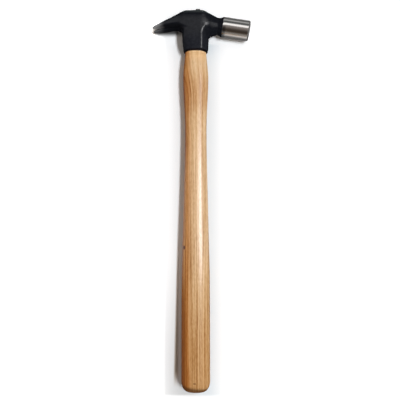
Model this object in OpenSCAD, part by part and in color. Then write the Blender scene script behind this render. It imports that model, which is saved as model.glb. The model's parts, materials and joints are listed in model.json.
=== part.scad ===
// Farrier's driving hammer, lying on its side: swing plane level, handle along Y.
// Origin: centre of the butt end. +Y runs to the head, +X to the striking face,
// -X to the claw, +Z up. Millimetres.

/* [Overall] */
// Butt end to crown
overall_len = 356; // [330:1:400]
// Crown to rim of the skirt
head_h = 36.6; // [35:0.1:42]
// Width across the cheeks
cheek_d = 24; // [22:0.5:27]

/* [Claw] */
// Handle axis to the claw tips
claw_reach = 40.3; // [36:0.1:46]
// Crown down to the middle of the tip edge
claw_tip_drop = 15.4; // [13:0.1:18]
// Thickness of the ground tip edge
claw_tip_t = 1.3; // [1:0.1:2]
// Length of the ground bevel at the tips
claw_bevel = 3; // [2:0.1:5]
// Crown down to the claw's top face where the bevel starts
claw_brow_drop = 13.9; // [12.5:0.1:15]
// Crown down to the claw's underside halfway along
claw_belly_drop = 14.5; // [14:0.1:17]
// Handle axis to that place
claw_belly_x = 29; // [26:0.5:32]
// Crown down to the underside at the skirt
claw_root_drop = 13.1; // [12:0.1:14]
// Squareness of the claw's underside
claw_power = 10; // [4:0.5:12]
// Width across the claw where the bevel starts
claw_brow_w = 17.8; // [16:0.1:20]
// Width across the claw
claw_w = 19.6; // [17:0.1:22]
// Width across the claw at the skirt
claw_root_w = 20; // [18:0.1:22]
// Width across the two tips
claw_tip_w = 14; // [12:0.1:16]
// Opening of the nail notch between the tips
notch_w = 6; // [5:0.1:7]
// Length of the nail notch along the claw
notch_len = 22; // [18:0.5:24]
// Width of the notch at its round root
notch_root_w = 1.2; // [0.8:0.1:2]
// Bevel ground along the upper edges of the notch
notch_bevel = 0.9; // [0.5:0.1:1.3]

/* [Crown] */
// Handle axis to the crown's corner on the claw side
crown_claw = 10.3; // [9.5:0.1:12]
// Handle axis to the crown's corner on the poll side
crown_poll = 7.8; // [7.5:0.1:9]
// Half length of the rounding at the crown's two corners
crown_round = 1.6; // [0.8:0.1:2.5]
// Width across the cheeks at the crown's corner on the claw side
crown_claw_d = 23; // [21:0.1:24]
// Handle axis to the ridge where the cheeks turn to the poll
cheek_ridge = 3.8; // [1:0.1:6]
// Length over which the cheeks take up the taper of the neck
cheek_bend = 2; // [1:0.1:4]

/* [Skirt] */
// Wall of the skirt at its rim, front and back
skirt_wall_x = 1.8; // [1.2:0.1:2.5]
// Wall of the skirt at its rim, at the cheeks
skirt_wall_z = 2.3; // [1.8:0.1:3]
// Half width of the skirt where it meets the claw
skirt_claw = 12.7; // [12:0.1:14]
// Half width of the skirt where it meets the neck
skirt_poll = 12.4; // [12:0.1:14]
// Squareness of the skirt at the claw
skirt_power_claw = 6; // [3:0.5:8]
// Squareness of the skirt on the poll side of the cheek ridge
skirt_power_poll = 2; // [2:0.1:3]
// Fillet between the skirt and the claw
fillet_claw = 5; // [4:0.1:7]
// Fillet between the skirt and the neck
fillet_poll = 2.5; // [1.5:0.1:4]
// How much the neck's underside drops towards the skirt
neck_sag = 1.7; // [0.5:0.1:2.5]
// How much the skirt draws in towards its rim
skirt_curl = 0.7; // [0:0.1:1]
// Height over which it draws in
skirt_curl_h = 4; // [3:0.1:6]
// Height of the arch in the rim over each cheek
rim_arch = 0.2; // [0.1:0.1:2]

/* [Poll] */
// Angle that the poll droops towards the butt
poll_droop = 8.5; // [5:0.5:12]
// Diameter of the poll
poll_d = 18.4; // [17:0.1:20]
// Length of the polished poll
poll_len = 25.7; // [20:0.1:32]
// Handle axis to the back of the polished poll
poll_x = 25.2; // [24:0.1:28]
// Crown down to the poll's centre line there
poll_drop = 12.8; // [12:0.1:14]
// Rounding of the edge of the striking face
face_round = 1.5; // [1:0.1:2.5]
// Diameter of the neck groove
neck_d = 15.3; // [14:0.1:16.5]
// Length of the flare from the groove to the poll
neck_flare = 4.4; // [3:0.1:6]

/* [Eye] */
// Eye at the crown, along the head
eye_crown_w = 15.4; // [14:0.1:16]
// Eye at the crown, across the head
eye_crown_d = 13.6; // [12:0.1:15]
// Eye at its throat, along the head
eye_throat_w = 14.4; // [13:0.1:15]
// Eye at its throat, across the head
eye_throat_d = 12.2; // [11:0.1:13]
// Crown down to the throat
eye_throat_drop = 14; // [10:0.5:18]
// Eye at the rim, along the head
eye_rim_w = 19.6; // [18:0.1:21]
// Eye at the rim, across the head
eye_rim_d = 17.4; // [16:0.1:19]

/* [Handle] */
// Width of the handle at the butt
butt_w = 27.4; // [25:0.1:30]
// Depth of the handle at the butt
butt_d = 23.6; // [21:0.1:26]
// Length of the rounding at the butt
butt_round = 9; // [6:0.5:12]
// How far the rounding draws the butt in
butt_draw = 5.4; // [4:0.1:7]
// Butt end to the palm of the grip
palm_y = 100; // [80:1:120]
// Width at the palm
palm_w = 26.7; // [24:0.1:30]
// Depth at the palm
palm_d = 23; // [20:0.1:26]
// Width midway between palm and waist
mid_w = 23.4; // [22:0.1:26]
// Depth midway between palm and waist
mid_d = 20.4; // [18:0.1:23]
// Rim of the head down to the waist
waist_drop = 72; // [60:1:90]
// Width at the waist
waist_w = 20.5; // [18:0.1:23]
// Depth at the waist
waist_d = 17.8; // [16:0.1:20]
// Rim of the head down to the swell
swell_drop = 25; // [20:1:35]
// Width at the swell
swell_w = 23.8; // [22:0.1:26]
// Depth at the swell
swell_d = 20.6; // [18:0.1:23]

/* [Wedges] */
// Length of the wooden wedge
wood_wedge_len = 23; // [18:0.5:28]
// Thickness of the wooden wedge at the crown
wood_wedge_t = 3; // [2:0.1:4]
// Thickness of the wooden wedge at its thin end
wood_wedge_tip_t = 0.8; // [0.5:0.1:1.2]
// Length of the steel wedge
steel_wedge_len = 18; // [14:0.5:20]
// Thickness of the steel wedge at its head
steel_wedge_t = 3.8; // [3:0.1:4.5]
// Thickness of the steel wedge at its thin end
steel_wedge_tip_t = 0.8; // [0.5:0.1:1.2]
// Width of the steel wedge, across the head
steel_wedge_w = 10.6; // [9:0.1:11.5]
// Handle axis to the middle of the steel wedge
steel_wedge_x = 2.1; // [0:0.1:3]
// How far the steel wedge stands out of the crown
steel_wedge_proud = 2.6; // [1:0.1:3]

/* [Fits] */
// Clearance between the tenon and the eye, all round
eye_gap = 0.05; // [0.02:0.01:0.1]
// Clearance between a wedge and its slot, on each side
wedge_gap = 0.05; // [0.02:0.01:0.1]

/* [Hidden] */

forged_black = [0.13, 0.13, 0.14];
pale_ash = [0.80, 0.62, 0.42];
wedge_wood = [0.62, 0.43, 0.26];
wedge_steel = [0.35, 0.35, 0.36];

crown_y = overall_len;
rim_y = crown_y - head_h;
throat_y = crown_y - eye_throat_drop;
// How far cuts run past a surface, and how deep solids that merge run into each other
past = 1;
tuck = 6;
sunk = 0.01;

head_sides = 40;
handle_sides = 40;
eye_sides = 36;

// Squareness of each section: 2 is an ellipse and 10 nearly a rectangle
eye_power = 2.6;
grip_power = 2.3;
tip_power = 4;
crown_power = 5;
ridge_power = 7;
shoulder_power = 3.5;
round_power = 2;
$fn = 64;

// Curve through a list of [x, y] points that never swings past them.
function secant(p, i) = (p[i + 1].y - p[i].y) / (p[i + 1].x - p[i].x);
function slope(p, i) =
    i == 0 ? secant(p, 0)
    : i == len(p) - 1 ? secant(p, i - 1)
    : let (a = secant(p, i - 1), b = secant(p, i)) a * b <= 0 ? 0 : 2 * a * b / (a + b);
function span(p, x, i = 0) = i >= len(p) - 2 || x < p[i + 1].x ? i : span(p, x, i + 1);
function curve(p, x) =
    let (
        i = span(p, x),
        h = p[i + 1].x - p[i].x,
        t = (x - p[i].x) / h,
        rise = 3 * t ^ 2 - 2 * t ^ 3
    )
    p[i].y * (1 - rise) + p[i + 1].y * rise
    + slope(p, i) * h * (t - 2 * t ^ 2 + t ^ 3)
    + slope(p, i + 1) * h * (t ^ 3 - t ^ 2);

// Places between the given stops: each stretch is cut into its own number of steps.
function between(stops, steps) = [
    for (k = [0 : len(steps) - 1], i = [0 : steps[k] - 1])
        stops[k] + (stops[k + 1] - stops[k]) * i / steps[k],
    stops[len(steps)],
];

// Oval from x0 to x1 and b to either side, widest at mid. Each half has its own
// squareness, from an ellipse (power 2) to nearly a rectangle.
function oval(x0, mid, x1, b, power0, power1, sides) = [
    for (i = [0 : sides - 1])
        let (
            c = cos(360 * i / sides),
            s = sin(360 * i / sides),
            n = c < 0 ? power0 : power1,
            k = (abs(c) ^ n + abs(s) ^ n) ^ (-1 / n)
        )
        [mid + (c < 0 ? mid - x0 : x1 - mid) * k * c, b * k * s],
];
function even_oval(a, b, power, sides) = oval(-a, 0, a, b, power, power, sides);

// Solid through a list of rings, each a list of as many points.
module skin(rings) {
    n = len(rings[0]);
    last = (len(rings) - 1) * n;
    walls = [
        for (k = [0 : n : last - n], j = [0 : n - 1])
            let (a = k + j, b = k + (j + 1) % n)
            each [[a, a + n, b], [b, a + n, b + n]],
    ];
    foot = [for (j = [0 : n - 1]) j];
    top = [for (j = [n - 1 : -1 : 0]) last + j];
    polyhedron([for (ring = rings) each ring], concat([foot], walls, [top]));
}

// Solid through a list of [height, outline] sections, stacked along Z.
module loft(sections) {
    skin([for (s = sections) [for (p = s[1]) [p.x, p.y, s[0]]]]);
}

// Sections stacked along the handle: their x stays x, their y turns to -z.
module along_handle() {
    rotate([-90, 0, 0]) children();
}

// Sections stacked from claw to poll: their x turns to y, their y to z.
module along_head() {
    rotate([90, 0, 90]) children();
}

// Profile lying in the swing plane, made into a slab centred on it.
module slab(depth) {
    linear_extrude(height = depth, center = true) children();
}

neck_x = poll_x - neck_flare * cos(poll_droop);
neck_drop = poll_drop - neck_flare * sin(poll_droop);
brow_x = claw_reach - claw_bevel;
root_x = skirt_claw + fillet_claw;
root_y = crown_y - claw_root_drop;
cheek_half = cheek_d / 2;
neck_half = neck_d / 2 - sunk;
function neck_axis(x) = crown_y - neck_drop + (neck_x - x) * tan(poll_droop);

// The skirt sweeps round into the neck about this point, outside their inner corner.
// The sweep runs from the cheek ridge to the neck's axis, on a quarter of an ellipse.
sweep = [
    skirt_poll + fillet_poll,
    crown_y - neck_drop - neck_half - neck_sag - fillet_poll,
];
sweep_w = sweep.x - cheek_ridge;
sweep_h = neck_axis(sweep.x) - sweep.y;
function sweep_y(x) = sweep.y + sweep_h * sqrt(1 - ((sweep.x - x) / sweep_w) ^ 2);
function sweep_reach(a) = 1 / norm([cos(a) / sweep_w, sin(a) / sweep_h]);

// From 0 at low to 1 at high.
function share(v, low, high) = min(1, max(0, (v - low) / (high - low)));

// Top line of the head: straight runs, rounded at the crown's corners.
head_corners = [
    [-claw_reach, claw_tip_drop - claw_tip_t / 2],
    [-brow_x, claw_brow_drop],
    [-crown_claw, 0],
    [crown_poll, 0],
    [neck_x, neck_drop - neck_half],
];
function corner_gap(x) = min(abs(x + crown_claw), abs(x - crown_poll));
function head_top(x) =
    let (w = max(0, crown_round - corner_gap(x)))
    crown_y - (lookup(x - w, head_corners) + lookup(x + w, head_corners)) / 2;

// Underside of the claw, carried on inside the skirt.
function claw_under(x) = crown_y - curve([
    [-claw_reach, claw_tip_drop + claw_tip_t / 2],
    [-claw_belly_x, claw_belly_drop],
    [-root_x, claw_root_drop],
    [cheek_ridge, crown_y - sweep.y],
], x);

// Height at which the head is widest: midway on the claw, and where the sweep starts
// on the side of the poll.
function head_mid(x) =
    x >= sweep.x ? neck_axis(x)
    : x >= cheek_ridge ? sweep_y(x)
    : let (s = share(x, -root_x, cheek_ridge))
        claw_under(x) * (1 + s) / 2 + head_top(x) * (1 - s) / 2;
function head_under(x) =
    let (s = share(x, -root_x, cheek_ridge))
    (x < cheek_ridge ? claw_under(x) : head_mid(x)) - tuck * s;

neck_taper = (cheek_half - neck_half) / (neck_x - cheek_ridge - cheek_bend / 2);
function head_half(x) = curve([
    [-claw_reach, claw_tip_w / 2],
    [-brow_x, claw_brow_w / 2],
    [-(brow_x + root_x) / 2, claw_w / 2],
    [-root_x, claw_root_w / 2],
    [-crown_claw, crown_claw_d / 2],
    [-crown_claw / 3, cheek_half],
    [cheek_ridge, cheek_half],
    [cheek_ridge + cheek_bend, cheek_half - neck_taper * cheek_bend / 2],
    [neck_x, neck_half],
], x);

// Squareness of the head's upper and lower halves.
function top_power(x) = curve([
    [-claw_reach, tip_power],
    [-brow_x, crown_power],
    [-crown_claw, crown_power],
    [cheek_ridge, ridge_power],
    [skirt_poll, shoulder_power],
    [neck_x, round_power],
], x);

function under_power(x) = curve([
    [-claw_reach, tip_power],
    [-brow_x, claw_power],
    [-root_x, claw_power],
    [cheek_ridge, round_power],
    [neck_x, round_power],
], x);

module claw_and_shoulders() {
    stops = [
        -claw_reach,
        -brow_x,
        -root_x,
        -crown_claw - crown_round,
        -crown_claw + crown_round,
        cheek_ridge,
        crown_poll - crown_round,
        crown_poll + crown_round,
        neck_x,
    ];
    along_head() loft([
        for (x = between(stops, [3, 8, 3, 6, 4, 3, 6, 7]))
            [
                x,
                oval(head_under(x), head_mid(x), head_top(x), head_half(x), under_power(x),
                    top_power(x), head_sides),
            ]
    ]);
}

// Half depth of the body at x, from plain cheeks (drawn 0) to the drawn-in head (drawn 1).
function body_half(x, drawn) = cheek_half + (head_half(x) - cheek_half) * drawn - sunk;

// Where the skirt turns into the neck: rings about the sweep's centre, then along the neck.
module sweep_to_neck() {
    side = oval(0, 1, 1 + tuck / sweep_w, 1, skirt_power_poll, round_power, head_sides);
    drawn_by = 60;
    turned = [
        for (a = [0 : 7.5 : 90])
            [
                for (p = side)
                    let (
                        r = fillet_poll + (sweep_reach(a) - fillet_poll) * p.x,
                        x = sweep.x - r * cos(a)
                    )
                    [x, sweep.y + r * sin(a), p.y * body_half(x, share(a, 0, drawn_by))]
            ]
    ];
    along_neck = [
        for (x = between([sweep.x, neck_x], [5]))
            if (x > sweep.x)
                let (under = curve([
                    [sweep.x, sweep_h - fillet_poll],
                    [neck_x, neck_half],
                ], x))
                [for (p = side) [x, neck_axis(x) - under * (1 - p.x), p.y * body_half(x, 1)]]
    ];
    skin(concat(turned, along_neck));
}

// How far a quarter-round fillet of radius r, ending at height top, reaches out at height y.
function flare(y, top, r) =
    y <= top - r ? 0 : y >= top ? r : r - sqrt(r ^ 2 - (y - top + r) ^ 2);

skirt_rim_half_x = eye_rim_w / 2 + skirt_wall_x;
skirt_rim_half_z = eye_rim_d / 2 + skirt_wall_z;
skirt_top_y = root_y + tuck / 2;

function skirt_side(y, wide) = curve([
    [rim_y - past, skirt_rim_half_x - skirt_curl / 2],
    [rim_y + skirt_curl_h, skirt_rim_half_x + skirt_curl / 2],
    [sweep.y, wide],
    [skirt_top_y, wide],
], y);

function skirt_share(y) = curve([
    [rim_y - past, skirt_rim_half_z / cheek_half],
    [sweep.y, 1],
    [skirt_top_y, 1],
], y);

// Above the sweep's centre the skirt leans back on the poll side, under the sweep.
skirt_lean = 0.25;

module skirt() {
    stops = [rim_y - past, sweep.y, root_y - fillet_claw, root_y, skirt_top_y];
    along_handle() loft([
        for (y = between(stops, [5, 3, 6, 1]))
            let (
                claw_side = skirt_side(y, skirt_claw) + flare(y, root_y, fillet_claw),
                poll_side = skirt_side(y, skirt_poll) - max(0, y - sweep.y) * skirt_lean,
                drawn = share(y, sweep.y, root_y),
                square = eye_power + (skirt_power_claw - eye_power) * share(y, rim_y, sweep.y),
                outline = oval(-claw_side, cheek_ridge, poll_side, skirt_share(y), square,
                    skirt_power_poll, head_sides)
            )
            [y, [for (p = outline) [p.x, p.y * body_half(p.x, drawn)]]]
    ]);
}

// Neck groove, flare, polished poll and striking face, turned about the drooping centre line.
module poll() {
    groove_depth = (poll_d - neck_d) / 2;
    groove_r = (neck_flare ^ 2 + groove_depth ^ 2) / (2 * groove_depth);
    groove_a = asin(neck_flare / groove_r);
    face = poll_len - face_round;
    profile = [
        [0, -neck_flare - 2 * tuck],
        [neck_d / 2, -neck_flare - 2 * tuck],
        for (a = [0 : 6]) [
            neck_d / 2 + groove_r * (1 - cos(groove_a * a / 6)),
            groove_r * sin(groove_a * a / 6) - neck_flare,
        ],
        for (a = [0 : 15 : 90]) [
            poll_d / 2 - face_round * (1 - cos(a)),
            face + face_round * sin(a),
        ],
        [0, poll_len],
    ];
    translate([poll_x, crown_y - poll_drop, 0])
        rotate([0, 90, -poll_droop])
            rotate_extrude() polygon(profile);
}

// The eye narrows from the crown to its throat and widens again to the rim.
// A tenon is the same shape, smaller by the clearance.
module eye(gap, from, to) {
    stops = [from, throat_y, to];
    w = [[rim_y, eye_rim_w], [throat_y, eye_throat_w], [crown_y, eye_crown_w]];
    d = [[rim_y, eye_rim_d], [throat_y, eye_throat_d], [crown_y, eye_crown_d]];
    along_handle() loft([
        for (y = between(stops, [8, 4]))
            let (half = curve(w, y) / 2 - gap)
            [y, even_oval(half, curve(d, y) / 2 - gap, eye_power, eye_sides)]
    ]);
}

// V between the tines, cut square to the claw's top face, with bevelled upper edges.
claw_slope = atan(claw_brow_drop / (brow_x - crown_claw));
claw_len = (claw_reach - crown_claw) / cos(claw_slope);

function notch(grow) =
    let (
        spread = (notch_w - notch_root_w) / notch_len * past,
        mouth = (notch_w + spread) / 2 + grow,
        r = notch_root_w / 2 + grow
    )
    [
        [-claw_len - past, -mouth],
        for (a = [-90 : 30 : 90]) [notch_len - claw_len + r * cos(a), r * sin(a)],
        [-claw_len - past, mouth],
    ];

module nail_notch() {
    through = claw_root_drop;
    translate([-crown_claw, crown_y, 0])
        rotate([0, 0, claw_slope])
            along_handle() {
                translate([0, 0, -through])
                    linear_extrude(height = through + past) polygon(notch(0));
                loft([[-notch_bevel, notch(0)], [past, notch(notch_bevel + past)]]);
            }
}

// Cylinder that arches the rim over both cheeks.
module rim_cut() {
    reach = skirt_rim_half_x;
    r = (reach ^ 2 + rim_arch ^ 2) / (2 * rim_arch);
    translate([0, rim_y + rim_arch - r, 0]) cylinder(r = r, h = 2 * cheek_d, center = true);
}

module hammer_head() {
    color(forged_black)
        difference() {
            union() {
                claw_and_shoulders();
                skirt();
                sweep_to_neck();
                poll();
            }
            eye(0, rim_y - 2 * past, crown_y + past);
            nail_notch();
            rim_cut();
        }
}

neck_y = rim_y;
waist_y = rim_y - waist_drop;
swell_y = rim_y - swell_drop;
mid_y = (palm_y + waist_y) / 2;

function handle_w(y) = curve([
    [0, butt_w],
    [palm_y, palm_w],
    [mid_y, mid_w],
    [waist_y, waist_w],
    [swell_y, swell_w],
    [neck_y, eye_rim_w - 2 * eye_gap],
], y);

function handle_d(y) = curve([
    [0, butt_d],
    [palm_y, palm_d],
    [mid_y, mid_d],
    [waist_y, waist_d],
    [swell_y, swell_d],
    [neck_y, eye_rim_d - 2 * eye_gap],
], y);

// Oval grip with a rounded butt, up to the rim of the head. It starts a little
// behind the butt end, where the end face is sawn off flat.
module grip() {
    rounded = [
        [-past, butt_draw],
        for (a = [0 : 15 : 75])
            [butt_round * (1 - cos(a)), butt_draw * (1 - sin(a))],
    ];
    straight = [
        for (y = between([butt_round, palm_y, waist_y, swell_y, neck_y], [6, 12, 7, 6]))
            [y, 0]
    ];
    along_handle() loft([
        for (p = concat(rounded, straight))
            let (y = max(p.x, 0), half = handle_w(y) / 2 - p.y)
            [p.x, even_oval(half, handle_d(y) / 2 - p.y, grip_power, handle_sides)]
    ]);
}

// Tapered blade from its thick end at top down to its thin end, as wide as width.
module blade(top, length, thick, thin, width) {
    translate([0, top, 0])
        slab(width) polygon([
            [-thick / 2, 0],
            [-thin / 2, -length],
            [thin / 2, -length],
            [thick / 2, 0],
        ]);
}

// Both wedges as they sit, or as their slots when grown by a clearance.
module wood_blade(gap) {
    rotate([0, 90, 0])
        blade(crown_y, wood_wedge_len + gap, wood_wedge_t + 2 * gap,
            wood_wedge_tip_t + 2 * gap, 2 * eye_rim_w);
}

module steel_blade(gap) {
    translate([steel_wedge_x, 0, 0])
        blade(crown_y + steel_wedge_proud, steel_wedge_len + gap, steel_wedge_t + 2 * gap,
            steel_wedge_tip_t + 2 * gap, steel_wedge_w + 2 * gap);
}

module handle() {
    color(pale_ash)
        difference() {
            union() {
                grip();
                eye(eye_gap, rim_y, crown_y);
            }
            wood_blade(wedge_gap);
            steel_blade(wedge_gap);
            translate([0, -butt_w, 0]) cube(2 * butt_w, center = true);
        }
}

module kerf_wedge() {
    color(wedge_wood)
        difference() {
            intersection() {
                wood_blade(0);
                eye(eye_gap, rim_y, crown_y);
            }
            steel_blade(wedge_gap);
        }
}

module steel_wedge() {
    color(wedge_steel) steel_blade(0);
}

hammer_head();
handle();
kerf_wedge();
steel_wedge();
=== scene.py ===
import json
import math

import bmesh
import bpy
import numpy as np
from mathutils import Matrix, Quaternion, Vector


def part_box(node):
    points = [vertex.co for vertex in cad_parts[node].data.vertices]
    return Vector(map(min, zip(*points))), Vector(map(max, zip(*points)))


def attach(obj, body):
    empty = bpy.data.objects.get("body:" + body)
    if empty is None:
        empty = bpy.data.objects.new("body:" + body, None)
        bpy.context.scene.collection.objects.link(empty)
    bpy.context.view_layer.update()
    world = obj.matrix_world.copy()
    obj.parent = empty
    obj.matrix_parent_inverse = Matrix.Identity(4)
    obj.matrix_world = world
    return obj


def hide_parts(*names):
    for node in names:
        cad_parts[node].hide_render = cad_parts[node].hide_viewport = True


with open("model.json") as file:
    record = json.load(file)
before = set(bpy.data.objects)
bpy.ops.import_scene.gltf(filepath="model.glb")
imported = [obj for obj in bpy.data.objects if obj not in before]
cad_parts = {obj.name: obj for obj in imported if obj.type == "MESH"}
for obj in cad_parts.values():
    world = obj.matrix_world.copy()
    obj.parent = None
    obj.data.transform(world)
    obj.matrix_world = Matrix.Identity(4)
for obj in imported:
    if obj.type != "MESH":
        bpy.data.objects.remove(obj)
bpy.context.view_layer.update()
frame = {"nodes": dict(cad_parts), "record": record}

MM = 0.001
BODY = "root"

# The head's own places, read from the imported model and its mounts
mounts = {m["name"]: m for m in frame["record"]["mounts"]}
face_centre = Vector(mounts["striking_face"]["pos_m"])
poll_axis = Vector(mounts["striking_face"]["axis"]).normalized()
head_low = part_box("hammer_head")[0]
crown_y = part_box("handle")[1].y

# Poll, as turned: radius, length, edge and the groove behind it
poll_r = 9.2 * MM
poll_len = 25.7 * MM
face_round = 1.5 * MM
neck_r = 7.65 * MM
neck_flare = 4.4 * MM

# Eye: its width along the head and its depth across it, at the rim, the throat and the crown.
# The tenon is the same shape, smaller by the clearance.
head_h = 36.6 * MM
rim_y = crown_y - head_h
throat_y = crown_y - 14 * MM
eye_w = [(rim_y, 19.6 * MM), (throat_y, 14.4 * MM), (crown_y, 15.4 * MM)]
eye_d = [(rim_y, 17.4 * MM), (throat_y, 12.2 * MM), (crown_y, 13.6 * MM)]
eye_power = 2.6
eye_gap = 0.05 * MM

# Grip: its width and depth from the butt to the mouth of the eye
palm_y = 100 * MM
midway_y = 173.6 * MM
waist_y = rim_y - 72 * MM
swell_y = rim_y - 25 * MM
grip_w = [
    (0, 27.4 * MM),
    (palm_y, 26.7 * MM),
    (midway_y, 23.4 * MM),
    (waist_y, 20.5 * MM),
    (swell_y, 23.8 * MM),
    (rim_y, eye_w[0][1] - 2 * eye_gap),
]
grip_d = [
    (0, 23.6 * MM),
    (palm_y, 23.0 * MM),
    (midway_y, 20.4 * MM),
    (waist_y, 17.8 * MM),
    (swell_y, 20.6 * MM),
    (rim_y, eye_d[0][1] - 2 * eye_gap),
]
grip_power = 2.3
butt_round = 9 * MM
butt_draw = 5.4 * MM

# Wedges, as driven
wood_wedge_len = 23 * MM
wood_wedge_t = 3 * MM
wood_wedge_tip_t = 0.8 * MM
steel_wedge_len = 18 * MM
steel_wedge_t = 3.8 * MM
steel_wedge_tip_t = 0.8 * MM
steel_wedge_w = 10.6 * MM
steel_wedge_x = 2.1 * MM
steel_wedge_proud = 2.6 * MM
wedge_gap = 0.05 * MM

# Points that lie closer than this are made one
weld = 0.005 * MM


class Wire:
    """A value in a shader expression: operators on it add Math nodes."""

    def __init__(self, tree, socket):
        self.tree = tree
        self.socket = socket

    def math(self, operation, *values):
        return self.tree.node("ShaderNodeMath", {"operation": operation}, dict(enumerate(values)))

    def __add__(self, other):
        return self.math("ADD", self, other)

    def __sub__(self, other):
        return self.math("SUBTRACT", self, other)

    def __rsub__(self, other):
        return self.math("SUBTRACT", other, self)

    def __mul__(self, other):
        return self.math("MULTIPLY", self, other)

    def __truediv__(self, other):
        return self.math("DIVIDE", self, other)

    def __pow__(self, other):
        return self.math("POWER", self, other)

    def __abs__(self):
        return self.math("ABSOLUTE", self)

    __radd__ = __add__
    __rmul__ = __mul__

    def sine(self):
        return self.math("SINE", self)

    def over(self, other):
        return self.math("MAXIMUM", self, other)

    def angle_to(self, other):
        return self.math("ARCTAN2", self, other)

    def rise(self, low, high):
        """0 below low, 1 above high and a smooth slope between; high may be the lower one."""
        inputs = {"Value": self, "From Min": low, "From Max": high}
        return self.tree.node("ShaderNodeMapRange", {"interpolation_type": "SMOOTHSTEP"}, inputs)

    def band(self, low, high, soft):
        """1 between low and high, with a slope of twice soft at either end."""
        return self.rise(low - soft, low + soft) * self.rise(high + soft, high - soft)


class Tree:
    """The nodes of one finish, or of the world."""

    def __init__(self, owner):
        owner.use_nodes = True
        self.owner = owner
        self.nodes = owner.node_tree.nodes
        self.links = owner.node_tree.links
        self.nodes.clear()

    def node(self, kind, settings=None, inputs=None, out=0):
        """Adds a node: its settings first, then the values or links of its sockets."""
        made = self.nodes.new(kind)
        for key, value in (settings or {}).items():
            if key == "stops":
                ramp = made.color_ramp.elements
                while len(ramp) < len(value):
                    ramp.new(0.5)
                for stop, (place, colour) in zip(ramp, value):
                    stop.position = place
                    stop.color = (*colour, 1)
            else:
                setattr(made, key, value)
        for key, value in (inputs or {}).items():
            if isinstance(value, Wire):
                self.links.new(value.socket, made.inputs[key])
            elif isinstance(value, tuple) and made.inputs[key].type == "RGBA":
                made.inputs[key].default_value = (*value, 1)
            else:
                made.inputs[key].default_value = value
        return Wire(self, made.outputs[out]) if made.outputs else None

    def place(self):
        """Object coordinates in metres."""
        return self.node("ShaderNodeTexCoord", out="Object")

    def facing(self):
        """The surface's own direction."""
        return self.node("ShaderNodeTexCoord", out="Normal")

    def ray(self, kind):
        """1 where the light path is of this kind."""
        return self.node("ShaderNodeLightPath", out=f"Is {kind} Ray")

    def axes(self, vector):
        split = self.node("ShaderNodeSeparateXYZ", {}, {0: vector}).socket.node
        return [Wire(self, socket) for socket in split.outputs]

    def vector(self, x, y, z):
        return self.node("ShaderNodeCombineXYZ", {}, {0: x, 1: y, 2: z})

    def vector_math(self, operation, a, b, out=0):
        return self.node("ShaderNodeVectorMath", {"operation": operation}, {0: a, 1: b}, out)

    def noise(self, vector, scale, detail, roughness=0.5):
        inputs = {"Vector": vector, "Scale": scale, "Detail": detail, "Roughness": roughness}
        return self.node("ShaderNodeTexNoise", {}, inputs)

    def ramp(self, value, *stops):
        return self.node("ShaderNodeValToRGB", {"stops": stops}, {"Fac": value})

    def mix(self, share, a, b, blend="MIX"):
        """Colour a where share is 0, colour b where it is 1."""
        settings = {"data_type": "RGBA", "blend_type": blend}
        return self.node("ShaderNodeMix", settings, {0: share, 6: a, 7: b}, out=2)

    def tint(self, share, colour, by):
        """The colour as it is where share is 0, multiplied by another where it is 1."""
        return self.mix(share, colour, by, "MULTIPLY")

    def blend(self, share, a, b):
        """Number a where share is 0, number b where it is 1."""
        return a + share * (b - a)

    def spot(self, x, y, at, half):
        """1 inside a small oval mark with a soft edge."""
        across = (x - at[0]) / half[0]
        along = (y - at[1]) / half[1]
        return (across * across + along * along).rise(1.7, 0.4)

    def bump(self, height):
        """Normal of a surface that stands height millimetres proud."""
        return self.node("ShaderNodeBump", {}, {"Distance": MM, "Height": height})

    def finish(self, shader):
        self.node("ShaderNodeOutputMaterial", {}, {"Surface": shader})
        return self.owner


def material(name):
    return Tree(bpy.data.materials.new(name))


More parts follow.
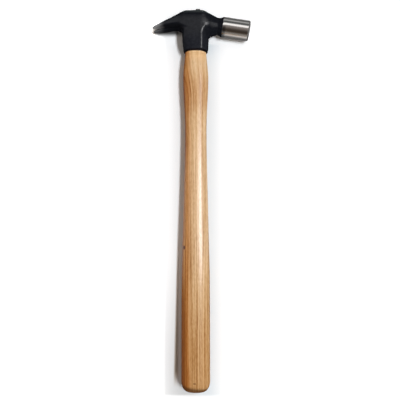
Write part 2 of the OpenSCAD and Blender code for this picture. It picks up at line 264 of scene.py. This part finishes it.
def forged_finish():
    """Satin black paint over the forging, worn off the claw tips, and the polished poll."""
    dark_paint = (0.0072, 0.0080, 0.0112)
    pale_paint = (0.0130, 0.0142, 0.0185)
    body_painted_shade = (0.80, 0.80, 0.80)
    skirt_painted_light = (1.40, 1.37, 1.33)
    crown_painted_sheen = (0.046, 0.053, 0.053)
    dark_polish = (0.47, 0.45, 0.435)
    pale_polish = (0.52, 0.505, 0.49)
    polish_painted_shade = (0.20, 0.205, 0.215)
    dark_ground = (0.24, 0.24, 0.245)
    pale_ground = (0.50, 0.50, 0.51)
    face_edge_painted_dark = (0.115, 0.112, 0.108)

    tree = material("painted_forging")
    place = tree.place()
    x, y, z = tree.axes(place)
    to_crown = tree.axes(tree.facing())[1]
    from_face = tree.vector_math("SUBTRACT", place, tuple(face_centre))
    fine = tree.noise(place, 1100, 3)
    blotch = tree.noise(place, 420, 3)
    coarse = tree.noise(place, 150, 2)
    streaks = tree.noise(tree.vector(x * 0.25 + y * 0.12, y - x * 0.46, z), 900, 2)

    # Distances in millimetres
    past_face = tree.vector_math("DOT_PRODUCT", from_face, tuple(poll_axis), out="Value") / MM
    past_paint = past_face + poll_len / MM
    from_tips = (x - head_low.x) / MM
    from_crown = (crown_y - y) / MM
    from_rim = (y - rim_y) / MM

    # Bare steel: the poll past its ragged line of paint, and the claw tips, most on their upper side
    steel = (past_paint + 0.25 * coarse).rise(0.3, 0.46)
    worn = (from_tips + 4 * (coarse - 0.5) + 4 * (streaks - 0.5)).rise(12, 0.5)
    # Painted shade: the lower tine, which lies in shadow, keeps less bare steel and so stays darker
    worn = worn * tree.blend((z / MM).rise(-3, 1), 0.3, 1)
    bare = steel.over(worn)
    lines = tree.noise(tree.vector(past_face * 0.9, y * 6, z * 6), 9, 3)
    polished = tree.mix(lines.rise(0.3, 0.7), dark_polish, pale_polish)
    # Painted shade: the polish is darker at the barrel's back end where it faces the butt, in place
    # of the dark reflection there
    painted_shade_by_skirt = past_paint.rise(4, 2) * to_crown.rise(-0.12, -0.32)
    polished = tree.mix(painted_shade_by_skirt, polished, polish_painted_shade)
    ground = tree.mix(streaks.rise(0.3, 0.7), dark_ground, pale_ground)

    tone = blotch.rise(0.3, 0.7) * 0.6 + streaks.rise(0.35, 0.65) * 0.4
    paint = tree.mix(tone, dark_paint, pale_paint)
    # Painted light and shade: the paint is made paler towards the rim and darker on the body above it
    paint = tree.tint(1.0, paint, tree.mix(from_rim.rise(20, 5), body_painted_shade, skirt_painted_light))
    # Painted reflection: the paint is paler close to the crown, where its rounded edge catches the
    # light
    paint = tree.mix(from_crown.rise(4.6, 1.2), paint, crown_painted_sheen)
    colour = tree.mix(bare, paint, tree.mix(steel, ground, polished))
    # The face's rounded edge is dull and not metal; its dark grey is a painted reflection, standing
    # in for the dark line the polished edge mirrors
    edge = past_face.band(-1.45, -0.16, 0.14)

    # The paint shines least where it faces the butt, on the neck and at the crown
    gloss = tree.blend(to_crown.rise(-0.25, -0.7), 0.15, 0.02)
    gloss = gloss * tree.blend((x / MM).rise(8, 13), 1, 0.08) * (0.75 + 0.5 * blotch)
    gloss = gloss * from_crown.rise(4, 9) * tree.blend(from_rim.rise(8, 20), 0.62, 1.6)
    steel_rough = tree.blend(steel, 0.38 + 0.1 * fine, 0.10 + 0.05 * lines)
    dimples = coarse * 0.035 + blotch * 0.012 + fine * 0.006
    shader = tree.node("ShaderNodeBsdfPrincipled", {}, {
        "Base Color": tree.mix(edge, colour, face_edge_painted_dark),
        "Metallic": bare * (1 - edge) * tree.blend(steel, 0.45, 1),
        "Roughness": tree.blend(bare, 0.5 + 0.1 * fine, steel_rough),
        "Specular IOR Level": 0.0,
        "Coat Weight": gloss * (1 - bare),
        "Coat Roughness": 0.21,
        "Normal": tree.bump(tree.blend(steel, dimples, lines * 0.0004)),
    })
    return tree.finish(shader)


def ash_finish():
    """Clear-lacquered ash: straight grain that sweeps aside at the swell, pores, end grain."""
    ring_tones = (
        (0.10, (0.330, 0.155, 0.056)),
        (0.38, (0.530, 0.302, 0.130)),
        (0.62, (0.685, 0.445, 0.238)),
        (0.88, (0.800, 0.570, 0.345)),
    )
    painted_shade_left_tint = (0.86, 0.595, 0.345)
    painted_shade_side_tint = (0.62, 0.50, 0.38)
    hand_tint = (0.76, 0.63, 0.455)
    swell_tint = (0.84, 0.74, 0.64)
    shoulder_tint = (1.12, 1.09, 1.03)
    tool_line_tint = (0.66, 0.56, 0.42)
    pore_tint = (0.45, 0.26, 0.13)
    knot_brown = (0.085, 0.022, 0.005)
    end_brown = (0.090, 0.036, 0.012)
    mouth_painted_shade = (0.008, 0.006, 0.005)

    # Knots: place and half size in millimetres
    grip_knot = ((-10.7, 135.4), (0.9, 1.8))
    butt_knot = ((-0.9, 10.4), (1.4, 0.4))

    tree = material("lacquered_ash")
    x, y, z = tree.axes(tree.place())

    # Places in millimetres, and the grain as distance across it, bent aside under the head
    aside = x / MM
    up = y / MM
    high = z / MM
    from_head = (rim_y - y) / MM
    wander = tree.noise(tree.vector(x * 5, y * 3, z * 5), 5, 2) - 0.5
    sweep = from_head.rise(48, -6)
    grain = (aside + 4.6 * sweep + 1.6 * wander) / (1 + 0.5 * sweep)
    drift = tree.noise(tree.vector(grain * 0.30, up * 0.005, high * 0.05), 1.0, 2)
    rings = 0.5 + 0.5 * (grain * 2.3 + drift * 16).sine()
    bands = tree.noise(tree.vector(grain, up * 0.008, high * 0.08), 1.5, 2, 0.6)
    threads = tree.noise(tree.vector(grain, up * 0.03, high * 0.15), 2.6, 2, 0.6)
    flecks = tree.noise(tree.vector(grain * 0.7, up * 0.22, high * 0.5), 1.2, 2)
    broad = tree.noise(tree.vector(grain, up * 0.012, high * 0.1), 0.3, 1)

    tone = 0.04 + rings * 0.24 + bands.rise(0.36, 0.62) * 0.34 + broad.rise(0.3, 0.7) * 0.08
    tone = tone + threads.rise(0.36, 0.64) * 0.12 + flecks.rise(0.3, 0.7) * 0.14
    tone = tree.blend(from_head.rise(38, 10) * 0.5, tone, 0.68)
    wood = tree.ramp(tone, *ring_tones)

    # Painted shade on the claw's side and on faces that turn that way from the key lamp, most on the
    # lower grip; darker below the swell and where hands hold it, and paler under the head
    painted_shade_left = (aside + 2.5 * wander).rise(-2.5, -8.5)
    side = tree.axes(tree.facing())[0].rise(-0.72, -0.97)
    side = side.over(aside.rise(-7.5, -10.6) * up.rise(150, 60))
    hand = (up + 40 * wander).rise(125, 35)
    wood = tree.tint(painted_shade_left, wood, painted_shade_left_tint)
    wood = tree.tint(side, wood, painted_shade_side_tint)
    wood = tree.tint(hand * 0.8, wood, hand_tint)
    wood = tree.tint(up.band(264, 294, 12), wood, swell_tint)
    wood = tree.tint(from_head.rise(14, 3), wood, shoulder_tint)

    # Lines that a tool left under the head, open pores, knots, end grain, and a painted shade band on
    # the wood at the eye's mouth
    tool_lines = from_head.band(3.3, 3.7, 0.3).over(from_head.band(4.7, 5.0, 0.3) * 0.6)
    pores = tree.noise(tree.vector(x, y * 0.03, z), 3400, 1).rise(0.62, 0.74)
    knots = tree.spot(aside, up, *grip_knot).over(tree.spot(aside, up, *butt_knot))
    end = (up + 1.5 * wander + 0.12 * aside).rise(7.2, 3.4)
    wood = tree.tint(tool_lines * 0.8, wood, tool_line_tint)
    wood = tree.tint(pores * 0.35, wood, pore_tint)
    wood = tree.mix(knots * high.rise(-0.5, 0.5), wood, knot_brown)
    wood = tree.mix(end * 0.85, wood, end_brown)
    wood = tree.mix(from_head.rise(1.35, 0.85), wood, mouth_painted_shade)

    # The lacquer shines above the palm, in patches, and has gone dull at butt and swell
    kept = up.rise(85, 150) * tree.blend(up.rise(190, 275), 1, 0.2)
    mottle = tree.noise(tree.vector(x * 1.5, y * 0.35, z * 1.5), 800, 2).rise(0.36, 0.58)
    kept = kept * tree.blend(mottle, 0.76, 1)
    shader = tree.node("ShaderNodeBsdfPrincipled", {}, {
        "Base Color": wood,
        "Roughness": 0.52 - 0.10 * rings,
        "Specular IOR Level": 0.0,
        "Normal": tree.bump(threads * 0.010 + rings * 0.012 + wander * 0.05),
        "Coat Weight": (0.13 + 0.87 * kept) * (1 - end * 0.5),
        "Coat Roughness": 0.36,
    })
    return tree.finish(shader)


def wedge_finish():
    """Raw end grain of the wooden wedge."""
    grain_tones = (
        (0.3, (0.10, 0.045, 0.016)),
        (0.7, (0.33, 0.18, 0.08)),
    )
    tree = material("wedge_end_grain")
    grain = tree.noise(tree.place(), 1400, 3, 0.6)
    shader = tree.node("ShaderNodeBsdfPrincipled", {}, {
        "Base Color": tree.ramp(grain, *grain_tones),
        "Roughness": 0.7 + 0.2 * grain,
        "Normal": tree.bump(grain * 0.05),
    })
    return tree.finish(shader)


def scale_finish():
    """Mill scale on the steel wedge, bright where the hammer struck it."""
    dark_scale = (0.012, 0.012, 0.014)
    pale_scale = (0.05, 0.048, 0.048)
    struck_steel = (0.30, 0.29, 0.28)
    tree = material("wedge_scale")
    place = tree.place()
    proud = (tree.axes(place)[1] - crown_y) / MM
    grain = tree.noise(place, 1100, 4, 0.6)
    struck = (proud + grain * 0.5).rise(2.55, 2.9)
    shader = tree.node("ShaderNodeBsdfPrincipled", {}, {
        "Base Color": tree.mix(struck, tree.mix(grain, dark_scale, pale_scale), struck_steel),
        "Metallic": 0.6 + struck * 0.4,
        "Roughness": 0.62 - struck * 0.2 + grain * 0.1,
        "Normal": tree.bump(grain * 0.06),
    })
    return tree.finish(shader)


def curve(points, at):
    """Height at one place of a curve through points that never swings past them."""
    def secant(i):
        return (points[i + 1][1] - points[i][1]) / (points[i + 1][0] - points[i][0])

    def slope(i):
        if i in (0, len(points) - 1):
            return secant(min(i, len(points) - 2))
        a, b = secant(i - 1), secant(i)
        return 0 if a * b <= 0 else 2 * a * b / (a + b)

    i = max(k for k in range(len(points) - 1) if k == 0 or at >= points[k][0])
    h = points[i + 1][0] - points[i][0]
    t = (at - points[i][0]) / h
    rise = 3 * t ** 2 - 2 * t ** 3
    return (points[i][1] * (1 - rise) + points[i + 1][1] * rise
            + slope(i) * h * (t - 2 * t ** 2 + t ** 3) + slope(i + 1) * h * (t ** 3 - t ** 2))


def oval(half_w, half_d, power, c, s):
    """Point of an oval, from its place (c, s) on the unit circle: its width and its depth."""
    k = (abs(c) ** power + abs(s) ** power) ** (-1 / power)
    return half_w * k * c, half_d * k * s


def piece(name, mesh, finish, node):
    """A finished mesh made into a piece that stands for a node of the model."""
    made = bpy.data.objects.new(name, mesh)
    bpy.context.scene.collection.objects.link(made)
    mesh.materials.clear()
    mesh.materials.append(finish)
    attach(made, BODY)
    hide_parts(node)
    return made


def mesh_from(bm, name, sharp_angle=None):
    mesh = bpy.data.meshes.new(name)
    bm.to_mesh(mesh)
    bm.free()
    mesh.shade_smooth()
    if sharp_angle:
        mesh.set_sharp_from_angle(angle=math.radians(sharp_angle))
    return mesh


def with_modifiers(mesh, name, *modifiers):
    """The mesh after modifiers, each a type and its settings."""
    holder = bpy.data.objects.new(name, mesh)
    bpy.context.scene.collection.objects.link(holder)
    for kind, settings in modifiers:
        modifier = holder.modifiers.new(kind, kind)
        for key, value in settings.items():
            setattr(modifier, key, value)
    bpy.context.view_layer.update()
    depsgraph = bpy.context.evaluated_depsgraph_get()
    made = bpy.data.meshes.new_from_object(holder.evaluated_get(depsgraph))
    bpy.data.objects.remove(holder)
    return made


class Clay:
    """The points of a fine mesh, to be smoothed as clay is with a thumb."""

    # How far a round moves a point to the middle of its neighbours, and back again
    step = 0.5
    step_back = 0.52

    def __init__(self, mesh):
        self.mesh = mesh
        self.count = len(mesh.vertices)
        ends = np.empty(len(mesh.edges) * 2, int)
        mesh.edges.foreach_get("vertices", ends)
        self.a = np.concatenate((ends[0::2], ends[1::2]))
        self.b = np.concatenate((ends[1::2], ends[0::2]))
        self.share = 1 / np.bincount(self.a, minlength=self.count)[:, None]
        self.at = np.empty(self.count * 3)
        mesh.vertices.foreach_get("co", self.at)
        self.at = self.at.reshape(-1, 3)

    def pull(self):
        """From each point to the middle of its neighbours."""
        sums = [np.bincount(self.a, self.at[self.b, k], self.count) for k in range(3)]
        return np.stack(sums, 1) * self.share - self.at

    def normals(self):
        self.press()
        out = np.empty(self.count * 3)
        self.mesh.vertex_normals.foreach_get("vector", out)
        return out.reshape(-1, 3)

    def smooth(self, rounds, weight):
        """Evens out the points without shrinking the whole."""
        for _ in range(rounds):
            self.at += self.step * weight * self.pull()
            self.at -= self.step_back * weight * self.pull()

    def soften(self, weight):
        """Rounds the edges off a little."""
        self.at += self.step * weight * self.pull()

    def fill(self, rounds, weight, renew=8):
        """Builds up the hollows into fillets and leaves the rest where it is."""
        for i in range(rounds):
            if i % renew == 0:
                normal = self.normals()
            out = np.clip((self.pull() * normal).sum(1, keepdims=True), 0, None)
            self.at += self.step * weight * out * normal

    def press(self):
        self.mesh.vertices.foreach_set("co", self.at.ravel())
        self.mesh.update()


def fade(value, low, high):
    """0 below low, 1 above high and a smooth slope between; high may be the lower one."""
    t = np.clip((value - low) / (high - low), 0, 1)
    return (t * t * (3 - 2 * t))[:, None]


def forging():
    """The painted forging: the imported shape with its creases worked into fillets."""
    voxel = 0.34 * MM
    eye_wall = 0.5 * MM
    cheek_swell = 0.06
    bm = bmesh.new()
    bm.from_mesh(frame["nodes"]["hammer_head"].data)
    bmesh.ops.remove_doubles(bm, verts=bm.verts, dist=weld)
    voxels = ("REMESH", {"mode": "VOXEL", "voxel_size": voxel, "adaptivity": 0})
    clay = Clay(with_modifiers(mesh_from(bm, "forging"), "forging", voxels))

    # Masks: 1 where the clay is worked in full, 0 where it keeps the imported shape
    x, y, z = clay.at.T
    half_w = np.interp(y, *zip(*eye_w)) / 2 + eye_wall
    half_d = np.interp(y, *zip(*eye_d)) / 2 + eye_wall
    clear_of_eye = fade((abs(x) / half_w) ** eye_power + (abs(z) / half_d) ** eye_power, 1.0, 1.25)
    above_rim = fade(y, rim_y + 0.6 * MM, rim_y + 2 * MM)
    below_crown = fade(y, crown_y - 2.2 * MM, crown_y - 4 * MM)
    near_crown = fade(y, crown_y - 7 * MM, crown_y - MM)
    clear_of_notch = np.maximum(fade(abs(z), 3.4 * MM, 4.4 * MM), fade(x, -19 * MM, -15 * MM))
    on_body = fade(x, -13 * MM, -10.5 * MM) * fade(x, 19.5 * MM, 17.5 * MM)

    clay.at[:, 2] *= 1 + cheek_swell * (near_crown * clear_of_eye)[:, 0]
    clay.smooth(8, 0.2 + 0.8 * below_crown)
    clay.smooth(160, clear_of_eye * above_rim * below_crown * on_body)
    clay.fill(50, clear_of_eye * above_rim * clear_of_notch)
    clay.soften(clear_of_eye)
    clay.press()
    return clay.mesh


def poll_profile():
    """Half outline of the groove, flare, barrel and face: distance past the barrel's back, radius."""
    round_steps = 8
    barrel_steps = 13
    face_rings = (0.96, 0.75, 0.5, 0.25, 0)
    depth = poll_r - neck_r
    groove_r = (neck_flare ** 2 + depth ** 2) / (2 * depth)
    groove_angle = math.asin(neck_flare / groove_r)
    barrel = poll_len - face_round
    for i in range(round_steps + 1):
        a = groove_angle * i / round_steps
        yield groove_r * math.sin(a) - neck_flare, neck_r + groove_r * (1 - math.cos(a))
    for i in range(1, barrel_steps):
        yield barrel * i / barrel_steps, poll_r
    for i in range(round_steps + 1):
        a = math.pi / 2 * i / round_steps
        yield barrel + face_round * math.sin(a), poll_r - face_round * (1 - math.cos(a))
    for share in face_rings:
        yield poll_len, (poll_r - face_round) * share


def open_edges(bm):
    return [edge for edge in bm.edges if edge.is_boundary]


def hammer_head():
    """The forging, cut off at the groove and carried on by the turned poll."""
    stub = 0.5 * MM
    poll_sides = 128
    bm = bmesh.new()
    bm.from_mesh(forging())
    back = face_centre - poll_axis * poll_len
    cut = back - poll_axis * (neck_flare + stub)
    everything = bm.verts[:] + bm.edges[:] + bm.faces[:]
    bmesh.ops.bisect_plane(bm, geom=everything, dist=weld, plane_co=cut, plane_no=poll_axis,
                           clear_outer=True)
    across = Vector((0, 0, 1))
    made = [bm.verts.new(back + poll_axis * s + across * r) for s, r in poll_profile()]
    line = [bm.edges.new(pair) for pair in zip(made, made[1:])]
    bmesh.ops.spin(bm, geom=made + line, cent=back, axis=poll_axis, angle=2 * math.pi,
                   steps=poll_sides, use_merge=True)
    turned = [v for v in bm.verts if (v.co - cut).dot(poll_axis) > stub / 2]
    bmesh.ops.remove_doubles(bm, verts=turned, dist=weld)
    bmesh.ops.bridge_loops(bm, edges=open_edges(bm))
    bmesh.ops.recalc_face_normals(bm, faces=bm.faces)
    return piece("head_forging", mesh_from(bm, "head_forging"), forged_finish(),
                 "hammer_head")


def handle_sections():
    """Height, half width, half depth and squareness of the handle, from the butt to the crown."""
    butt_rings = 14
    grip_rings = 150
    tenon_rings = 20
    for i in range(butt_rings):
        a = math.pi / 2 * i / butt_rings
        y = butt_round * (1 - math.cos(a))
        drawn = butt_draw * (1 - math.sin(a))
        yield y, curve(grip_w, y) / 2 - drawn, curve(grip_d, y) / 2 - drawn, grip_power
    for i in range(grip_rings + 1):
        y = butt_round + (rim_y - butt_round) * i / grip_rings
        yield y, curve(grip_w, y) / 2, curve(grip_d, y) / 2, grip_power
    for i in range(1, tenon_rings + 1):
        y = rim_y + head_h * i / tenon_rings
        yield y, curve(eye_w, y) / 2 - eye_gap, curve(eye_d, y) / 2 - eye_gap, eye_power


def blade(bm, top, length, thick, thin, width):
    """Tapered blade across the head, from its thick end at top down to its thin end."""
    cube = bmesh.ops.create_cube(bm, size=1)["verts"]
    for vert in cube:
        x, y, z = vert.co
        vert.co = (x * (thick if y > 0 else thin), top + (y - 0.5) * length, z * width)
    return cube


def handle():
    """The ash handle, from its rounded butt to the slotted tenon in the eye."""
    sides = 96
    end_inset = 0.6 * MM
    past_crown = 1 * MM
    sharp_angle = 40
    sections = list(handle_sections())
    rows = len(sections) - 1
    bm = bmesh.new()
    bmesh.ops.create_grid(bm, x_segments=sides, y_segments=rows, size=1)
    for vert in bm.verts:
        y, half_w, half_d, power = sections[round((vert.co.y + 1) / 2 * rows)]
        a = math.pi * vert.co.x
        x, z = oval(half_w, half_d, power, math.cos(a), math.sin(a))
        vert.co = (x, y, z)
    bmesh.ops.remove_doubles(bm, verts=bm.verts, dist=weld)
    ends = bmesh.ops.holes_fill(bm, edges=open_edges(bm))["faces"]
    bmesh.ops.inset_individual(bm, faces=ends, thickness=end_inset)
    bmesh.ops.recalc_face_normals(bm, faces=bm.faces)

    # The kerf runs along the head, and the steel wedge's slot across it
    cut = bmesh.new()
    kerf = blade(cut, crown_y + past_crown, wood_wedge_len + past_crown,
                 wood_wedge_t + 2 * wedge_gap, wood_wedge_tip_t, 2 * eye_w[0][1])
    turn = Matrix.Rotation(math.pi / 2, 3, "Y")
    bmesh.ops.rotate(cut, verts=kerf, cent=(0, 0, 0), matrix=turn)
    cross = blade(cut, crown_y + steel_wedge_proud, steel_wedge_len,
                  steel_wedge_t + 2 * wedge_gap, steel_wedge_tip_t, steel_wedge_w + 2 * wedge_gap)
    bmesh.ops.translate(cut, verts=cross, vec=(steel_wedge_x, 0, 0))
    slots = bpy.data.objects.new("slots", mesh_from(cut, "slots"))
    bpy.context.scene.collection.objects.link(slots)
    sawn = ("BOOLEAN", {"operation": "DIFFERENCE", "solver": "EXACT", "use_self": True,
                        "object": slots})
    mesh = with_modifiers(mesh_from(bm, "handle_body"), "handle_body", sawn)
    bpy.data.objects.remove(slots)
    mesh.shade_smooth()
    mesh.set_sharp_from_angle(angle=math.radians(sharp_angle))
    return piece("handle_ash", mesh, ash_finish(), "handle")


def steel_wedge():
    """The steel cross wedge, its proud end spread by the hammer that drove it."""
    spread = 0.25 * MM
    spread_h = 1.3 * MM
    dome = 1.5 * MM
    sharp_angle = 50
    top_y = crown_y + steel_wedge_proud
    bm = bmesh.new()
    blade(bm, top_y - spread_h, steel_wedge_len - spread_h, steel_wedge_t, steel_wedge_tip_t,
          steel_wedge_w)
    top = [f for f in bm.faces if f.calc_center_median().y > crown_y]
    grown = bmesh.ops.extrude_face_region(bm, geom=top)["geom"]
    bmesh.ops.delete(bm, geom=top, context="FACES_ONLY")
    lifted = [g for g in grown if isinstance(g, bmesh.types.BMVert)]
    bmesh.ops.translate(bm, verts=lifted, vec=(0, spread_h, 0))
    for vert in lifted:
        vert.co.x += math.copysign(spread, vert.co.x)
        vert.co.z += math.copysign(spread, vert.co.z)
    bmesh.ops.translate(bm, verts=bm.verts, vec=(steel_wedge_x, 0, 0))
    rim = {v for v in bm.verts if v.co.y > top_y - spread_h / 2}
    rim_edges = [edge for edge in bm.edges if set(edge.verts) <= rim]
    bmesh.ops.bevel(bm, geom=rim_edges, offset=dome, segments=6, profile=0.5, affect="EDGES",
                    material=-1, clamp_overlap=True)
    bmesh.ops.recalc_face_normals(bm, faces=bm.faces)
    return piece("wedge_steel", mesh_from(bm, "wedge_steel", sharp_angle), scale_finish(),
                 "steel_wedge")


hammer_head()
handle()
steel_wedge()
frame["nodes"]["kerf_wedge"].material_slots[0].material = wedge_finish()


# The stage, in metres: the lamps' places are measured from the middle of the hammer
floor_z = head_low.z
floor_reach = 8
middle = Vector((0, crown_y / 2, 0))
key_at = (0.34, -0.02, 1.03)
glint_at = (0.55, 0.05, 0.97)
camera_at = (4.07 * MM, 179.65 * MM, 416.5 * MM)


def lamp_light(x, y):
    """How brightly the key lamp and the room light the open floor: 1 beneath the hammer's middle."""
    room_share = 0.34
    key = middle + Vector(key_at) - Vector((0, 0, floor_z))
    off_x = x - key.x
    off_y = y - key.y
    reach = (off_x * off_x + off_y * off_y + key.z ** 2) / key.xz.length_squared
    return room_share + (1 - room_share) * reach ** -1.5


def paper_seen(tree, x, y):
    """The floor's colour to the camera: even white, with painted shade where the key lamp gives none.
    """
    paper = 1.05
    claw_painted_light = 1.4
    claw_shade = 0.92
    grip_shade = 0.76
    butt_shade = 0.22
    close_shade = 0.20
    grip_lean = 0.0265

    # Distances in millimetres
    aside = x / MM
    up = y / MM
    from_tips = (x - head_low.x) / MM
    from_crown = (crown_y - y) / MM

    # Painted light past the claw tips, which hides the claw's shadow there, and painted shadow in the
    # narrow strip under the claw
    under_claw = from_crown.rise(18.9, 13.5) * from_crown.rise(7, 10)
    under_claw = under_claw * from_tips.rise(-4, 5) * aside.rise(-6, -11)
    under_claw = under_claw * tree.blend(aside.rise(-18.5, -15.5), 1, 0.7)
    past_claw = from_tips.rise(12, -3) * (1 - under_claw)
    white = (1 + claw_painted_light * past_claw) * (1 - claw_shade * under_claw)

    # Painted shadow: a dark warm line past the grip's edge, a wide painted shade by the butt, and a
    # soft one along the handle, cool on its right
    past_grip = (aside - up * grip_lean).rise(-22.6, -19.9) * aside.rise(-16, -19)
    past_grip = grip_shade * past_grip * up.rise(-4, 15) * up.rise(180, 170)
    by_butt = aside.rise(-44, -21) * aside.rise(8, -8) * up.rise(140, 10) * up.rise(-11.5, -9)
    close = abs(aside).rise(31, 11) * up.band(-11, rim_y / MM + 12, 2)
    cool = close * aside.rise(-6, 6)
    white = white * (1 - past_grip) * (1 - butt_shade * by_butt)
    white = white * (1 - close_shade * close) * paper / lamp_light(x, y)

    red = white * (1 - 0.045 * cool)
    green = white * (1 - 0.27 * past_grip)
    blue = white * (1 - 0.5 * past_grip) * (1 + 0.03 * cool)
    return tree.vector(red, green, blue)


def floor():
    """Pale floor: white to the camera with the hammer's shadow and painted shade on it, and pale in
    the steel but for a painted shade by the head.
    """
    open_paper = (0.95, 0.93, 0.90)
    painted_shade_in_steel = (0.22, 0.22, 0.22)
    bounce = (0.78, 0.78, 0.78)
    tree = material("pale_floor")
    x, y = tree.axes(tree.place())[:2]
    # Painted shade in the steel: near the head the mirrored floor is dark
    by_head = ((y - rim_y) / MM).rise(-38, 3)
    in_steel = tree.mix(by_head, open_paper, painted_shade_in_steel)
    seen = tree.mix(tree.ray("Camera"), in_steel, paper_seen(tree, x, y))
    mirrored = tree.ray("Glossy").over(tree.ray("Transmission"))
    colour = tree.mix(mirrored.over(tree.ray("Camera")), bounce, seen)
    finish = tree.finish(tree.node("ShaderNodeBsdfDiffuse", {}, {"Color": colour}))
    bm = bmesh.new()
    bmesh.ops.create_grid(bm, x_segments=1, y_segments=1, size=floor_reach)
    bmesh.ops.translate(bm, verts=bm.verts, vec=(0, 0, floor_z))
    made = bpy.data.objects.new("floor", mesh_from(bm, "floor"))
    bpy.context.scene.collection.objects.link(made)
    made.data.materials.append(finish)


# What the polished poll mirrors: the room's brightness by its lean from overhead towards the
# crown, in degrees
room_leans = (
    (-90, (0.66, 0.61, 0.56)),
    (-70, (0.32, 0.29, 0.26)),
    (-56, (0.080, 0.058, 0.040)),
    (-36, (0.060, 0.045, 0.033)),
    (-22, (0.13, 0.105, 0.09)),
    (-4, (0.32, 0.28, 0.26)),
    (9, (0.44, 0.42, 0.41)),
    (14, (1.80, 1.78, 1.76)),
    (31, (1.80, 1.80, 1.80)),
    (37, (0.24, 0.25, 0.25)),
    (50, (0.14, 0.15, 0.15)),
    (60, (0.17, 0.18, 0.18)),
    (68, (0.58, 0.60, 0.60)),
    (77, (0.80, 0.82, 0.82)),
    (84, (0.30, 0.31, 0.31)),
    (90, (0.24, 0.25, 0.25)),
)
full_turn = 360


def room():
    """A studio: even soft light, and in the steel a long window, dark gaps and pale walls."""
    soft_light = (0.36, 0.33, 0.30)
    backdrop = (1.0, 1.0, 1.0)
    before_face = (0.26, 0.26, 0.26)
    tree = Tree(bpy.data.worlds.new("room"))
    bpy.context.scene.world = tree.owner
    x, y, z = tree.axes(tree.node("ShaderNodeTexCoord", out="Generated"))
    lean = y.angle_to(z) * (180 / math.pi)
    stops = [(0.5 + degrees / full_turn, colour) for degrees, colour in room_leans]
    mirrored = tree.ramp(lean / full_turn + 0.5, *stops)
    mirrored = tree.mix(x.rise(0.3, 0.6), mirrored, before_face)
    plain = tree.mix(tree.ray("Camera"), soft_light, backdrop)
    colour = tree.mix(tree.ray("Glossy"), plain, mirrored)
    shader = tree.node("ShaderNodeBackground", {}, {"Color": colour})
    tree.node("ShaderNodeOutputWorld", {}, {"Surface": shader})


def lamp(name, at, length, width, power, colour, turn=0, diffuse=True, glossy=True):
    """Softbox that faces the hammer's middle, its length along the handle but for a turn."""
    light = bpy.data.lights.new(name, "AREA")
    light.shape = "RECTANGLE"
    light.size = length
    light.size_y = width
    light.energy = power
    light.color = colour
    made = bpy.data.objects.new(name, light)
    made.location = middle + Vector(at)
    made.rotation_mode = "QUATERNION"
    facing = Vector(at).to_track_quat("Z", "Y")
    made.rotation_quaternion = facing @ Quaternion((0, 0, 1), math.radians(turn))
    made.visible_diffuse = diffuse
    made.visible_glossy = glossy
    bpy.context.scene.collection.objects.link(made)


def camera():
    """Looks straight down on the hammer."""
    made = bpy.data.objects.new("camera", bpy.data.cameras.new("camera"))
    made.data.sensor_width = 36
    made.data.lens = 39.6
    made.location = camera_at
    bpy.context.scene.collection.objects.link(made)
    bpy.context.scene.camera = made


floor()
room()
lamp("key", key_at, length=0.30, width=0.12, power=8.8, colour=(0.955, 1.0, 1.045), glossy=False)
lamp("glint", glint_at, length=0.95, width=0.26, power=36, colour=(1.0, 1.0, 1.0), turn=-12,
     diffuse=False)
camera()
bpy.context.scene.view_settings.view_transform = "Standard"
